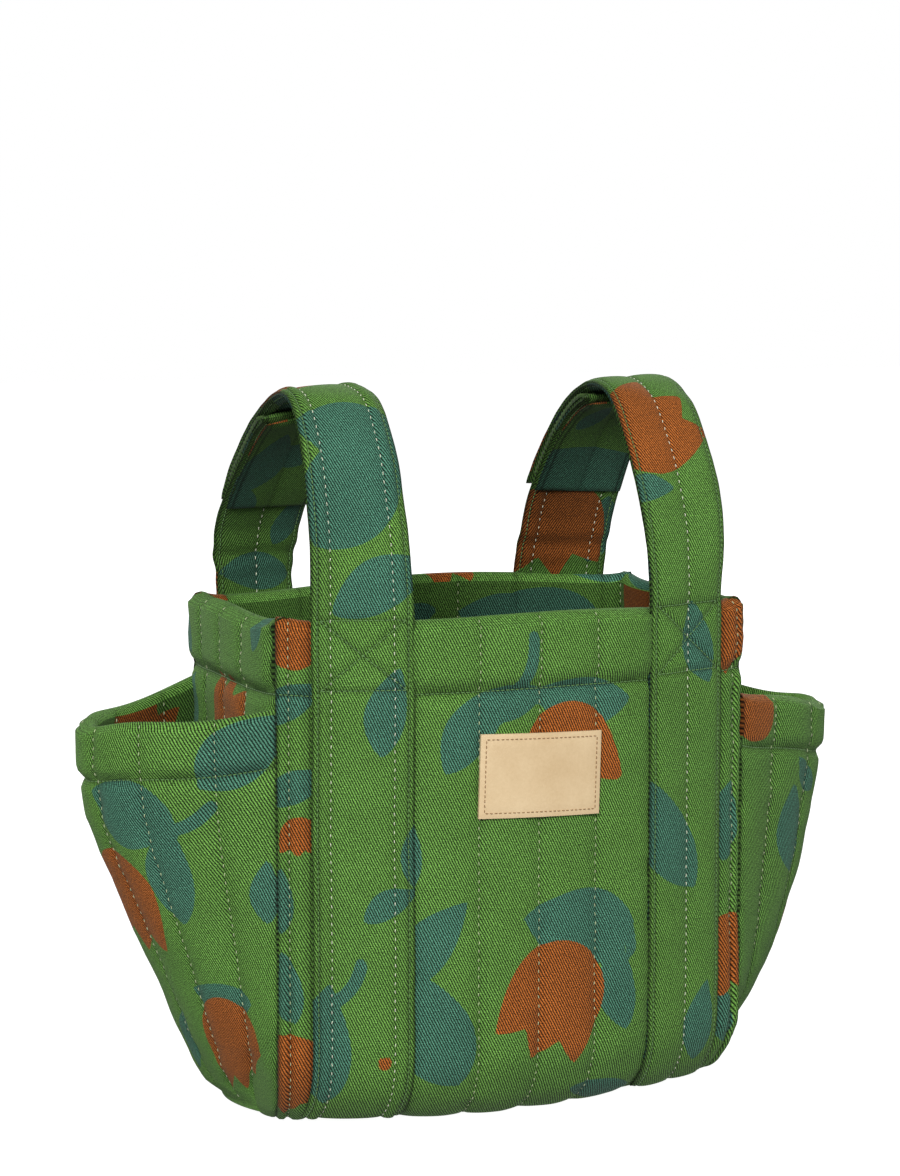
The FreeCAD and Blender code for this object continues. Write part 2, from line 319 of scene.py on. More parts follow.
def wall_cloth(u, v, thick):
    """The flat-cloth places that go with wall()."""
    step = thick * math.pi / 2 / (RIM_ROWS + 1)
    over = v[-1] + step * np.arange(1, RIM_ROWS + 1)
    down = over[-1] + step + (v[-1] - v[::-1])
    round_v = np.concatenate([v, over, down, [down[-1] + thick]])
    return pairs(u, round_v)


def wall_field(outer, inner):
    """A number for every point of wall(), from those of its two faces."""
    rim = np.repeat(np.minimum(outer[:, -1:], inner[:, -1:]), RIM_ROWS, 1)
    return np.concatenate([outer, rim, inner[:, ::-1]], 1)


# ---- threads ----
def sample(grid, a, r):
    """Points between a grid's own points, at fractional places (a, r)."""
    a0 = np.clip(np.floor(a).astype(int), 0, grid.shape[0] - 2)
    r0 = np.clip(np.floor(r).astype(int), 0, grid.shape[1] - 2)
    fa, fr = (a - a0)[:, None], (r - r0)[:, None]
    return (
        grid[a0, r0] * (1 - fa) * (1 - fr)
        + grid[a0 + 1, r0] * fa * (1 - fr)
        + grid[a0, r0 + 1] * (1 - fa) * fr
        + grid[a0 + 1, r0 + 1] * fa * fr
    )


class Threads:
    """Gathers single stitches, each a short bent bead of thread, into one mesh."""

    ROUND = 6
    BEAD = ((0, 0.45, -0.8), (0.16, 0.95, 0.5), (0.5, 1.0, 1.0), (0.84, 0.95, 0.5), (1, 0.45, -0.8))

    def __init__(self):
        self.points, self.faces = [], []

    def stitch(self, start, end, normal, radius, lift):
        """One bead; BEAD holds how far along each of its rings is, its thickness and its height."""
        along = unit(end - start)
        side = unit(np.cross(along, normal))
        up = np.cross(side, along)
        n, base = self.ROUND, len(self.points) * self.ROUND
        angles = 2 * math.pi * np.arange(n)[:, None] / n
        around = np.cos(angles) * side + np.sin(angles) * up
        for t, thickness, height in self.BEAD:
            middle = start + (end - start) * t + up * (lift * height)
            self.points.append(middle + radius * thickness * around)
        last = base + (len(self.BEAD) - 1) * n
        for ring in range(base, last, n):
            for k in range(n):
                a, b = ring + k, ring + (k + 1) % n
                self.faces.append((a, b, b + n, a + n))
        self.faces.append(tuple(range(base, base + n))[::-1])
        self.faces.append(tuple(range(last, last + n)))

    def run(self, line, normals, pitch, share, radius, lift, wander):
        """Stitches of share times pitch along a line, with a little unevenness."""
        at = lengths(line)
        count = max(1, int(at[-1] / pitch))
        for k in range(count):
            jitter = noise.noise(Vector(tuple(line[0] * 0.37)) + Vector((k * 1.7, 0, 0)))
            s0 = (k + 0.5 - share / 2 + 0.10 * jitter) * at[-1] / count
            s1 = (k + 0.5 + share / 2 + 0.10 * jitter) * at[-1] / count
            start, end = at_places(line, at, np.array([s0, s1]))
            n = unit(at_places(normals, at, (s0 + s1) / 2))
            side = unit(np.cross(end - start, n)) * wander * jitter
            self.stitch(start + side, end - side, n, radius, lift)

    def make(self, name, material):
        mesh = bpy.data.meshes.new(name)
        mesh.from_pydata((np.concatenate(self.points) * MM).tolist(), [], self.faces)
        mesh.polygons.foreach_set("use_smooth", [True] * len(self.faces))
        mesh.materials.append(material)
        return placed(name, mesh)


QUILT = {"pitch": 4.3, "share": 0.4, "radius": 0.2, "lift": 0.18, "wander": 0.4}
TOPSTITCH = {"pitch": 2.5, "share": 0.74, "radius": 0.21, "lift": 0.16, "wander": 0.1}


THREAD_LIFT = 0.1  # how far threads stand over the surface they are sewn on


def outward(grid):
    """Unit normals of a closed grid, turned outwards."""
    n, half = normals_of(grid), grid.shape[1] // 2
    through = grid[:, :half] - grid[:, ::-1][:, :half]
    return n if (through * n[:, :half]).sum() > 0 else -n


def thread_on(threads, grid, a, r, style):
    """Sews along the fractional grid places (a, r), just over the surface."""
    a, r = np.broadcast_arrays(np.asarray(a, float), np.asarray(r, float))
    n = unit(sample(outward(grid), a, r))
    threads.run(sample(grid, a, r) + n * THREAD_LIFT, n, **style)


# ---- materials ----
class Look:
    """A material, and short ways to build its nodes."""

    def __init__(self, name):
        self.material = bpy.data.materials.new(name)
        self.material.use_nodes = True
        tree = self.material.node_tree
        self.nodes, self.links = tree.nodes, tree.links
        self.shader = self.nodes["Principled BSDF"]

    def put(self, value, socket):
        """Sets a socket to a number or colour, or links another node's output to it."""
        if isinstance(value, (int, float, tuple)):
            socket.default_value = value
        else:
            self.links.new(value, socket)

    def add(self, kind, **values):
        """A new node, with its sockets and settings."""
        node = self.nodes.new("ShaderNode" + kind)
        for key, value in values.items():
            if key in node.inputs:
                self.put(value, node.inputs[key])
            else:
                setattr(node, key, value)
        return node

    def uv(self, name):
        return self.add("UVMap", uv_map=name).outputs[0]

    def math(self, operation, *values):
        node = self.add("Math", operation=operation)
        for value, socket in zip(values, node.inputs):
            self.put(value, socket)
        return node.outputs[0]

    def mix(self, factor, a, b):
        node = self.add("Mix", data_type="RGBA")
        for k, value in ((0, factor), (6, a), (7, b)):
            self.put(value, node.inputs[k])
        return node.outputs[2]

    def bump(self, height, strength, distance):
        node = self.add("Bump", Strength=strength, Distance=distance, Height=height)
        self.links.new(node.outputs[0], self.shader.inputs["Normal"])

    def done(self, **sockets):
        """Sets the shader's own sockets, and gives the material."""
        for name, value in sockets.items():
            self.put(value, self.shader.inputs[name.replace("_", " ")])
        return self.material


def rgb(*seen):
    """A colour as seen on screen, 0 to 255, as Blender's linear colour."""
    shares = [c / 255 for c in seen]
    return (*[c / 12.92 if c <= 0.04045 else ((c + 0.055) / 1.055) ** 2.4 for c in shares], 1.0)


def darker(colour, share):
    return (*[c * share for c in colour[:3]], 1.0)


GREEN = rgb(84, 124, 55)
TEAL = rgb(62, 105, 86)
RUST = rgb(143, 80, 33)
TWILL_PITCH, TWILL_SLOPE = 0.0012, math.radians(26)
FILL_PITCH = 0.0009


def twill(look, place):
    """0 in the valleys and 1 on the floats of a twill weave, and the cloth's speckle."""
    x, y, _ = look.add("SeparateXYZ", Vector=place).outputs
    warp = look.add("TexNoise", Scale=350.0, Detail=2.0, Vector=place).outputs[0]
    turns = 2 * math.pi
    across = look.math("MULTIPLY", x, turns * math.cos(TWILL_SLOPE) / TWILL_PITCH)
    across = look.math("MULTIPLY_ADD", y, turns * math.sin(TWILL_SLOPE) / TWILL_PITCH, across)
    across = look.math("MULTIPLY_ADD", warp, 3.0, across)
    wale = look.math("MULTIPLY_ADD", look.math("SINE", across), 0.5, 0.5)
    fill = look.math("MULTIPLY", y, turns / FILL_PITCH)
    fill = look.math("SINE", look.math("MULTIPLY_ADD", warp, 4.0, fill))
    height = look.math("MULTIPLY_ADD", fill, 0.12, wale)
    speck = look.add("TexNoise", Scale=1150.0, Detail=3.0, Roughness=0.75, Vector=place)
    return height, speck.outputs[0]


def painted_crease_shade(look):
    """Painted shade: 1 on open cloth, and less down in the creases of seams and quilting lines, where shade
    falls.
    """
    apart = look.add("SeparateXYZ", Vector=look.uv("seams"))
    kept = None
    for k, reach, loss in ((0, 0.7, 0.6), (0, 3.0, 0.14), (1, 0.8, 0.24), (1, 3.5, 0.08)):
        share = look.math("POWER", look.math("MULTIPLY", apart.outputs[k], 1 / reach), 2.0)
        share = look.math("EXPONENT", look.math("MULTIPLY", share, -1.0))
        share = look.math("MULTIPLY_ADD", share, -loss, 1.0)
        kept = share if kept is None else look.math("MULTIPLY", kept, share)
    return kept


def cloth_material(name, shade=1.0):
    """The printed cloth, with all its colours darkened to shade; below 1 it makes a copy that paints shade.
    """
    look = Look(name)
    place = look.uv("cloth")
    height, speck = twill(look, place)
    fields = look.add("SeparateXYZ", Vector=look.uv("print"))
    ragged = look.math("MULTIPLY_ADD", speck, 0.9, -0.45)
    colour = darker(GREEN, shade)
    for k, ink in ((0, TEAL), (1, RUST)):
        edge = look.math("ADD", fields.outputs[k], ragged)
        inside = look.add("Clamp", Value=look.math("MULTIPLY_ADD", edge, -2.5, 0.5))
        colour = look.mix(inside.outputs[0], colour, darker(ink, shade))
    broad = look.add("TexNoise", Scale=28.0, Detail=3.0, Vector=place).outputs[0]
    worn = look.math("MULTIPLY_ADD", broad, 0.4, 0.8)
    grain = look.math("MULTIPLY_ADD", speck, 3.8, -0.9)
    # Painted shade of the weave: the twill's floats are painted lighter and its valleys darker, then random
    # tone, speckle and the painted crease shade are multiplied in.
    light = look.math("MULTIPLY", height, 1.95)
    for share in (worn, grain, painted_crease_shade(look)):
        light = look.math("MULTIPLY", light, share)
    shaded = look.add("VectorMath", operation="SCALE", Vector=colour, Scale=light)
    look.bump(look.math("MULTIPLY_ADD", speck, 0.7, height), 0.55, 0.0003)
    return look.done(
        Base_Color=shaded.outputs[0], Roughness=0.92, Specular_IOR_Level=0.12,
        Sheen_Weight=0.06, Sheen_Roughness=0.4, Sheen_Tint=(0.75, 0.9, 0.65, 1),
    )


def thread_material(name, colour):
    look = Look(name)
    place = look.add("TexCoord").outputs["Object"]
    twist = look.add("TexNoise", Scale=1500.0, Detail=2.0, Vector=place).outputs[0]
    look.bump(twist, 0.5, 0.0002)
    seen = look.mix(twist, darker(colour, 0.72), colour)
    return look.done(Base_Color=seen, Roughness=0.7, Sheen_Weight=0.2)


def leather_material():
    look = Look("leather")
    place = look.add("TexCoord").outputs["Object"]
    pores = look.add("TexVoronoi", Scale=1500.0, Vector=place).outputs[0]
    cloud = look.add("TexNoise", Scale=60.0, Detail=5.0, Vector=place).outputs[0]
    fine = look.add("TexNoise", Scale=700.0, Detail=4.0, Vector=place).outputs[0]
    tone = look.math("MULTIPLY_ADD", look.math("MULTIPLY_ADD", fine, 0.5, cloud), 0.9, -0.25)
    look.bump(look.math("MULTIPLY_ADD", fine, 0.6, pores), 0.35, 0.0002)
    seen = look.mix(tone, rgb(196, 166, 122), rgb(224, 199, 158))
    return look.done(Base_Color=seen, Roughness=look.math("MULTIPLY_ADD", fine, 0.2, 0.48))


def tape_material(name, colour):
    """Brushed or hooked nylon: a dense field of tiny loops."""
    look = Look(name)
    loops = look.add("TexVoronoi", Scale=1300.0, Vector=look.uv("cloth")).outputs[0]
    look.bump(loops, 0.9, 0.0006)
    seen = look.mix(loops, darker(colour, 0.4), colour)
    return look.done(Base_Color=seen, Roughness=0.9, Specular_IOR_Level=0.1, Sheen_Weight=0.05)


CLOTH = cloth_material("printed_twill")
SHADED_LINING = cloth_material("printed_lining", shade=0.52)  # inside the bag: the same cloth darkened, as painted shade
# The straps' inner faces: the same cloth darkened, as painted shade.
SHADED_UNDERSIDE = cloth_material("strap_underside", shade=0.62)
QUILT_THREAD = thread_material("quilting_thread", rgb(236, 238, 212))
BODY_THREAD = thread_material("body_quilting_thread", rgb(196, 208, 160))
GREEN_THREAD = thread_material("green_thread", rgb(100, 146, 74))
LABEL_THREAD = thread_material("label_thread", rgb(150, 112, 68))
LEATHER = leather_material()
HOOKS = tape_material("hook_tape", rgb(66, 90, 50))
LOOPS = tape_material("loop_tape", rgb(84, 112, 62))


# ---- the body's form ----
TUCK = 0.3  # how much of the rounding at the floor the bag's width takes; its depth takes it all


def profile(step):
    """(inset, height) up a body panel, from the base's edge to the rim, and the places along it."""
    arc = BOTTOM_RADIUS * math.pi / 2
    v = spread([0, arc, arc + RIM - HEM - BOTTOM_RADIUS, arc + RIM - BOTTOM_RADIUS - WALL / 2], step)
    turn = np.minimum(v / BOTTOM_RADIUS, math.pi / 2)
    inset = BOTTOM_RADIUS * (1 - np.sin(turn))
    height = np.where(v < arc, BOTTOM_RADIUS * (1 - np.cos(turn)), v - CURL)
    return inset, height, v - CURL


def front_at(x, inset, height):
    """The front panel's own surface; the back panel mirrors it in Y."""
    share = x / (HALF_WIDTH - inset * TUCK)
    y = -(HALF_DEPTH - inset + FRONT_BULGE * (1 - share**2))
    return np.stack([x, y, height + 0 * x], -1)


def side_at(y, inset, height):
    share = y / (HALF_DEPTH - inset)
    x = HALF_WIDTH - inset * TUCK + SIDE_BULGE * (1 - share**2)
    return np.stack([x, y, height + 0 * y], -1)


def rim_wave(x, y, height):
    """The soft rim's rise and fall."""
    sway = 1.3 * np.sin(x * 0.031 + 0.8) + 1.0 * np.sin(y * 0.057 + x * 0.012 + 1.9)
    corner = np.exp(-(((np.abs(x) - HALF_WIDTH) / 9) ** 2) - ((np.abs(y) - HALF_DEPTH) / 9) ** 2)
    return (sway + 1.8 * corner) * smooth(height, RIM - 60, RIM)


def puckers(u, v, lines, seed, size=0.9):
    """Short creases that the quilting pulls out of the cloth on both sides of each line."""
    near = np.exp(-line_distance(u, lines) / 6.0)
    along = fractal(u * 0.3 + v * 0.15, v, 9.0, seed, 2)
    return size * near * along + 0.75 * fractal(u, v, 38.0, seed + 5, 2)


FRONT_LINES = [-1.0, -0.955, -0.88, -0.512, -0.248, 0.0, 0.248, 0.512, 0.88, 0.955, 1.0]
SIDE_LINES = [-1.0, -0.565, -0.065, 0.435, 1.0]
MESH_STEP = 2.4
HEM_CREASE = 2.6  # how wide the crease at a hem's stitching is


def panel_puff(u, v, lines, hem_at, seed):
    """How far a panel's outer face stands out, and its inner face stands in."""
    full = channels(u, lines)
    low = (1 - smooth(v, 40, 110)) * smooth(v, 18, 40)
    edge = smooth(v, -CURL, -CURL + 16)
    rise = (1.9 + 1.6 * low) * full * edge
    hem = 1.0 - bell(v - hem_at, HEM_CREASE)
    corner = smooth(np.minimum(u - lines[0], lines[-1] - u), 0, 6)
    above = smooth(v, hem_at, hem_at + 9) * (1.1 + 1.2 * corner)
    below = bell(v - hem_at + 9, 7.0) * 0.8
    out = (rise + above + below * full) * hem + puckers(u, v, lines, seed)
    out -= 0.9 * (1 - hem)
    return out, 1.2 * full * hem + 0.5 * puckers(u, v, lines, seed + 11)


def body_panel(name, at, mirror, half, lines, seed, outer, inner, replaced):
    """One quilted panel. at gives its surface, and mirror puts it on its own side of the bag."""
    inset, height, v = profile(MESH_STEP)
    shares = spread(lines, MESH_STEP / half)
    banded = at is front_at
    kept = TUCK if banded else 1.0
    surface = np.stack([at(shares * (half - i * kept), i, h) for i, h in zip(inset, height)], 1)
    surface = surface * mirror
    surface[..., 2] += rim_wave(surface[..., 0], surface[..., 1], surface[..., 2])
    u, vv = np.meshgrid(shares * half, v, indexing="ij")
    places = [line * half for line in lines]
    hem_at = RIM - HEM
    puff_out, puff_in = panel_puff(u, vv, places, hem_at, seed)
    outwards = np.sign((normals_of(surface) * surface * [1, 1, 0]).sum())
    if banded:
        # The straps' bands press the panel flat.
        beside = np.minimum(np.abs(u) - STRAP_IN, STRAP_OUT - np.abs(u))
        puff_out = puff_out * (1 - smooth(beside, -0.5, 2.5)) * (1 - 0.3 * smooth(beside, -7, -1))
    thick = WALL + 1.6 * smooth(vv, hem_at, hem_at + 14)
    points = wall(surface, outwards, thick, puff_out, puff_in, ROLLED)
    points[..., 2] = np.maximum(points[..., 2], 0.15)
    cloth = wall_cloth(shares * half, v, WALL)
    # Painted shadow: lines just beside each strap band's edges, where the panel's colour is darkened as
    # shade next to the band.
    band_shadow_lines = [sign * x for sign in (-1, 1) for x in (STRAP_IN - 0.8, STRAP_OUT + 0.8)]
    ends = line_distance(u, [-half, half])
    across = np.minimum(ends, line_distance(u, band_shadow_lines)) if banded else ends
    hem = np.abs(vv - hem_at)
    quilted = line_distance(u, places)
    seam = wall_field(np.minimum(across, hem), np.minimum(ends, hem))
    seams = np.stack([seam, wall_field(quilted, quilted)], -1)
    made = make_tube(name, points, cloth, CLOTH, outer, inner, len(v) + RIM_ROWS, seams, SHADED_LINING)
    declare(made, "root", replaced)
    return {"points": points, "shares": shares, "v": v}


def quilt_panel(threads, panel, lines):
    """Running stitches up the panel's quilting lines, outside and inside."""
    nv, last = len(panel["v"]), panel["points"].shape[1] - 1
    for line in lines:
        for low, high in ((2, nv + 1), (nv + RIM_ROWS, last - 2)):
            r = np.linspace(low, high, nv)
            thread_on(threads, panel["points"], index_at(line, panel["shares"]), r, QUILT)


def hem_panel(threads, panel, hem_at):
    """A hem's topstitching, outside and inside."""
    k, last = index_at(hem_at, panel["v"]), panel["points"].shape[1] - 1
    a = np.linspace(0.6, len(panel["shares"]) - 1.6, 200)
    for r in (k, last - k):
        thread_on(threads, panel["points"], a, r, TOPSTITCH)


# The motifs on each piece: shape, place across from its middle, height, turn and size.
FRONT_PRINT = (
    ("stem", -8, 227, -17, 26), ("leaf", -32, 197, -38, 52), ("leaf", -12, 208, -70, 34),
    ("leaf", 22, 210, 84, 54), ("tulip", 17, 181, 202, 53), ("leaf", -52, 93, -36, 50),
    ("broad", -50, 50, 17, 58), ("broad", 22, 99, 82, 62), ("stem", 47, 92, 20, 22),
    ("leaf", 45, 65, 6, 46), ("tulip", 8, 61, 156, 58), ("leaf", 41, 8, 76, 42),
    ("tulip", -117, 243, -18, 30), ("leaf", -117, 211, -56, 34), ("leaf", -115, 170, -66, 34),
    ("tulip", -115, 147, 175, 19), ("leaf", -123, 116, 0, 32), ("leaf", -120, 74, 8, 36),
    ("tulip", -121, 28, 180, 44), ("tulip", 114, 238, 183, 48), ("leaf", 115, 138, -5, 42),
    ("tulip", 116, 68, 166, 42), ("leaf", 115, 37, 9, 30), ("leaf", -66, 139, 2, 40),
)
INSIDE_BACK_PRINT = (
    ("leaf", -52, 272, -84, 44), ("leaf", -84, 268, -100, 46), ("leaf", -6, 272, -90, 24),
    ("tulip", 24, 330, 10, 50), ("leaf", -50, 350, 60, 52), ("leaf", 74, 300, -30, 50),
    ("tulip", -74, 420, 200, 50), ("leaf", 40, 420, 20, 54), ("leaf", -20, 470, 80, 50),
)
SIDE_PRINT = (
    ("tulip", 6, 196, -8, 46), ("leaf", -50, 195, 0, 36), ("leaf", 51, 247, -25, 26),
    ("leaf", -56, 236, 30, 32), ("leaf", 30, 120, 40, 50), ("tulip", -20, 90, 160, 46),
)
INSIDE_SIDE_PRINT = (
    ("tulip", 38, 266, 185, 34), ("leaf", -20, 300, 30, 50), ("tulip", 10, 370, 20, 48),
    ("leaf", -36, 420, -40, 50),
)
EVERY_BODY_LAYER = ("outer", "wadding", "lining")
front = body_panel(
    "front_panel", front_at, [1, 1, 1], HALF_WIDTH, FRONT_LINES, 1.0, FRONT_PRINT, INSIDE_BACK_PRINT,
    [f"front_{k}" for k in EVERY_BODY_LAYER] + ["rim_facing"],
)
back = body_panel(
    "back_panel", front_at, [-1, -1, 1], HALF_WIDTH, FRONT_LINES, 2.0, None, INSIDE_BACK_PRINT,
    [f"back_{k}" for k in EVERY_BODY_LAYER],
)
gussets = {}
for side, sign in SIDES:
    gussets[side] = body_panel(
        f"gusset_{side}", side_at, [sign, sign, 1], HALF_DEPTH, SIDE_LINES, 3.0 + sign,
        SIDE_PRINT if sign < 0 else None, INSIDE_SIDE_PRINT,
        [f"side_{side}_{k}" for k in EVERY_BODY_LAYER],
    )


def base_pad():
    """The quilted base, seen from inside the bag and from below."""
    half_x = HALF_WIDTH - BOTTOM_RADIUS * TUCK + 1
    lines = [-half_x, -93, -62, -31, 0, 31, 62, 93, half_x]
    x = spread(lines, 3.0)
    half_y = HALF_DEPTH - BOTTOM_RADIUS + FRONT_BULGE * (1 - (x / half_x) ** 2) + 1
    share = np.linspace(-1, 1, 40)
    across = np.concatenate([share, share[::-1]])
    y = half_y[:, None] * across
    full = channels(x, lines)[:, None] * (1 - np.abs(across) ** 6)
    below = np.arange(len(across)) < len(share)
    z = np.where(below, 0.9 - 0.75 * full, 5.6 + 1.8 * full)
    points = np.stack([x[:, None] + 0 * y, y, z], -1)
    cloth = pairs(x, np.concatenate([share * 52, 110 + share * 52, [170]]))
    quilted = np.repeat(line_distance(x, lines[1:-1])[:, None], points.shape[1], 1)
    seams = np.stack([np.full(quilted.shape, 30.0), quilted], -1)
    made = make_tube("base_pad", points, cloth, CLOTH, seams=seams)
    declare(made, "root", [f"base_{k}" for k in EVERY_BODY_LAYER])


base_pad()

quilting, topstitch = Threads(), Threads()
for panel in (front, back):
    quilt_panel(quilting, panel, [-0.955, -0.248, 0.0, 0.248, 0.955])
for side, _ in SIDES:
    quilt_panel(quilting, gussets[side], SIDE_LINES[1:-1])
for panel in (front, back, *gussets.values()):
    hem_panel(topstitch, panel, RIM - HEM)


# ---- pockets ----
# How far out each soft pocket reaches at heights above the floor, and how its mouth slopes.
POCKET_HEIGHTS = (5, 15, 25, 40, 60, 80, 100, 120, 140, 160, 180, 200, 215)
REACHES = {
    "left": (130, 139, 145, 152, 160, 168, 176, 184, 192, 198, 201, 201.5, 201.5),
    "right": (139, 148, 155, 163.5, 172.5, 181.5, 188.5, 193.5, 197.5, 201, 204, 204.5, 204.5),
}
MOUTH = {"left": (208.0, 11.5), "right": (203.5, 18.0)}  # its height at the seams, and its drop
POCKET_FLOOR = 3.0
POCKET_WALL = 6.4
NOSE = 0.27  # how blunt a pocket's nose is, seen from above
POCKET_ROUND = 206.0  # along a pocket from one seam to the other


def pocket_plan(s, reach, inset):
    """The right pocket's outline at one height; s runs from -1 at the front seam to 1 at the back."""
    root = HALF_WIDTH - inset * TUCK + 0.5
    slant = math.sqrt(1 + NOSE**2)
    rounded = (slant - np.sqrt(s**2 + NOSE**2)) / (slant - NOSE)
    belly = 0.10 * np.sin(math.pi * np.abs(s)) ** 2
    x = root + (reach - root) * np.clip(rounded + belly, 0, 1.0)
    y = s * (HALF_DEPTH + 1.5 - inset)
    return x, y


def pocket(side, sign, outer, seed):
    seam_height, drop = MOUTH[side]
    lip = seam_height - POCKET_FLOOR - POCKET_WALL / 2
    lines_mm = np.array([0, 24, 55, 86, 120, 151, 182, POCKET_ROUND])
    lines = lines_mm / (POCKET_ROUND / 2) - 1
    share = spread(lines, MESH_STEP / (POCKET_ROUND / 2))
    v = spread([0, lip - POCKET_HEM, lip], MESH_STEP)
    rows = []
    for k in v:
        turn = min(k / BOTTOM_RADIUS, math.pi / 2)
        height = POCKET_FLOOR + k
        inset = BOTTOM_RADIUS * (1 - math.sin(max(turn, 0.35)))
        reach = float(np.interp(height, POCKET_HEIGHTS, REACHES[side]))
        x, y = pocket_plan(share, reach, inset)
        fall = drop * np.clip((x - HALF_WIDTH) / (POCKET_REACH - HALF_WIDTH), 0, 1) ** 0.8
        rows.append(np.stack([x, y, height - fall * smooth(k / lip, 0.2, 1.0)], -1))
    surface = np.stack(rows, 1) * [sign, 1, 1]
    surface[..., 2] += 1.2 * np.sin(share * 9 + sign)[:, None] * smooth(v / lip, 0.7, 1.0)
    u, vv = np.meshgrid(POCKET_ROUND * (share + 1) / 2, v, indexing="ij")
    full = channels(u, lines_mm)
    hem_at = lip - POCKET_HEM
    hem = 1.0 - bell(vv - hem_at, HEM_CREASE)
    edge = smooth(vv, 0, 14)
    out = (2.1 * full * edge + 1.3 * smooth(vv, hem_at, hem_at + 8)) * hem - 0.9 * (1 - hem)
    out += puckers(u, vv, lines_mm, seed) * edge
    outwards = np.sign((normals_of(surface) * (surface - [sign * HALF_WIDTH, 0, 90])).sum())
    thick = POCKET_WALL + 0.9 * smooth(vv, hem_at, hem_at + 10)
    points = wall(surface, outwards, thick, out, 1.2 * full * hem * edge, ROLLED)
    points[..., 2] = np.maximum(points[..., 2], 0.2)
    cloth = wall_cloth(-u[:, 0] if sign < 0 else u[:, 0], v, POCKET_WALL)
    seam = np.minimum(np.abs(vv - hem_at), line_distance(u, [0, POCKET_ROUND]))
    quilted = line_distance(u, lines_mm[1:-1])
    seams = np.stack([wall_field(seam, seam), wall_field(quilted, quilted)], -1)
    inner = [(shape, sign * across, *rest) for shape, across, *rest in INSIDE_POCKET_PRINT]
    turn_at = len(v) + RIM_ROWS
    made = make_tube(f"pocket_{side}", points, cloth, CLOTH, outer, inner, turn_at, seams, SHADED_LINING)
    replaced = [f"pocket_{side}_{k}" for k in (*EVERY_BODY_LAYER, "facing")]
    declare(made, "root", replaced)
    panel = {"points": points, "shares": share, "v": v}
    quilt_panel(quilting, panel, lines[1:-1])
    hem_panel(topstitch, panel, hem_at)


LEFT_POCKET_PRINT = (
    ("broad", -12, 187, -52, 46), ("broad", -66, 164, 68, 54), ("stem", -35, 157, -58, 20),
    ("leaf", -47, 128, -5, 54), ("tulip", -88, 112, 171, 56), ("leaf", -38, 64, 85, 42),
    ("tulip", -37, 38, 195, 50), ("leaf", -88, 36, -25, 36), ("leaf", -4, 118, 0, 32),
    ("leaf", -150, 150, 20, 50), ("tulip", -140, 90, 30, 46), ("leaf", -175, 60, -40, 46),
)
RIGHT_POCKET_PRINT = (
    ("tulip", 7, 193, 2, 32), ("leaf", 46, 128, 10, 54), ("leaf", 54, 160, 50, 30),
    ("tulip", 84, 66, 200, 46), ("leaf", 118, 50, -40, 50), ("tulip", 150, 140, 10, 46),
    ("leaf", 120, 170, 60, 46), ("leaf", 170, 60, 30, 46),
)
INSIDE_POCKET_PRINT = (
    ("tulip", 165, 226, 150, 44), ("leaf", 60, 250, 30, 50), ("tulip", 120, 300, 0, 48),
    ("leaf", 30, 330, 80, 50), ("leaf", 180, 290, 20, 46),
)
pocket("left", -1, LEFT_POCKET_PRINT, 7.0)
pocket("right", 1, RIGHT_POCKET_PRINT, 9.0)


# ---- straps ----
# Both edges of each strap's outer face, from the rim on, as (Y, Z). The front straps arch over to
# the flap's end, and the tongues stand up from the back rim to their ends under the flaps.
FRONT_RAILS = {
    "right": (
        ((-88, 252), (-87, 265), (-84, 280), (-79, 296), (-72, 310), (-63, 325), (-48, 344), (-37, 354),
         (-22, 358.5), (-6, 357.5), (9, 352), (21, 345), (33, 336), (44, 326), (54, 316), (65, 303.5)),
        ((-71, 252), (-73, 266), (-73, 281), (-70, 297), (-65, 310), (-56, 324), (-42, 342), (-30, 351),
         (-14, 358), (2, 359), (16, 354), (27, 346), (36, 336), (44, 325.5), (51, 315), (60, 303)),
    ),
    "left": (
        ((-87, 252), (-84, 265), (-81, 280), (-77, 295), (-73, 307), (-66, 326), (-53, 343), (-38, 354),
         (-22, 357.5), (-6, 358), (9, 356), (22, 350), (34, 340.5), (45, 329), (55, 316), (64, 303)),
        ((-72, 252), (-76, 265), (-77, 280), (-76, 295), (-74, 308), (-69, 326), (-60, 343), (-48, 353.5),
         (-34, 357.5), (-18, 355), (-2, 349), (14, 341), (27, 332.5), (39, 323), (49, 314), (59, 301)),
    ),
}
BACK_RAILS = {
    "right": (
        ((81, 252), (80, 262), (75, 271), (70, 281), (66, 290), (60, 299), (49, 311.5), (39.5, 321.5),
         (29, 331), (17.5, 339), (6, 345.5), (-7, 350)),
        ((67, 252), (67, 260), (65, 270), (61, 280), (56, 290), (51, 300), (46, 310.5), (39, 321),
         (31, 331), (22.5, 341), (12, 348), (0, 352)),
    ),
    "left": (
        ((87, 252), (88.5, 260), (85, 269), (80, 278), (74, 288), (67, 297), (58, 306), (50, 313.5),
         (40, 325), (29.5, 335.5), (18, 344), (5, 350)),
        ((70, 252), (73, 262), (74, 270), (72, 278), (68, 287), (62, 295), (54, 303), (45, 310.5),
         (35, 318.5), (23.5, 327), (11, 335.5), (-4, 343)),
    ),
}
BAND_LIFT = 4.0  # the band's outer face, over the panel
BAND_FOOT = 4.5  # height of the band's lower end
CROWN_RISE = 2.8  # how much higher than their rails the straps arch


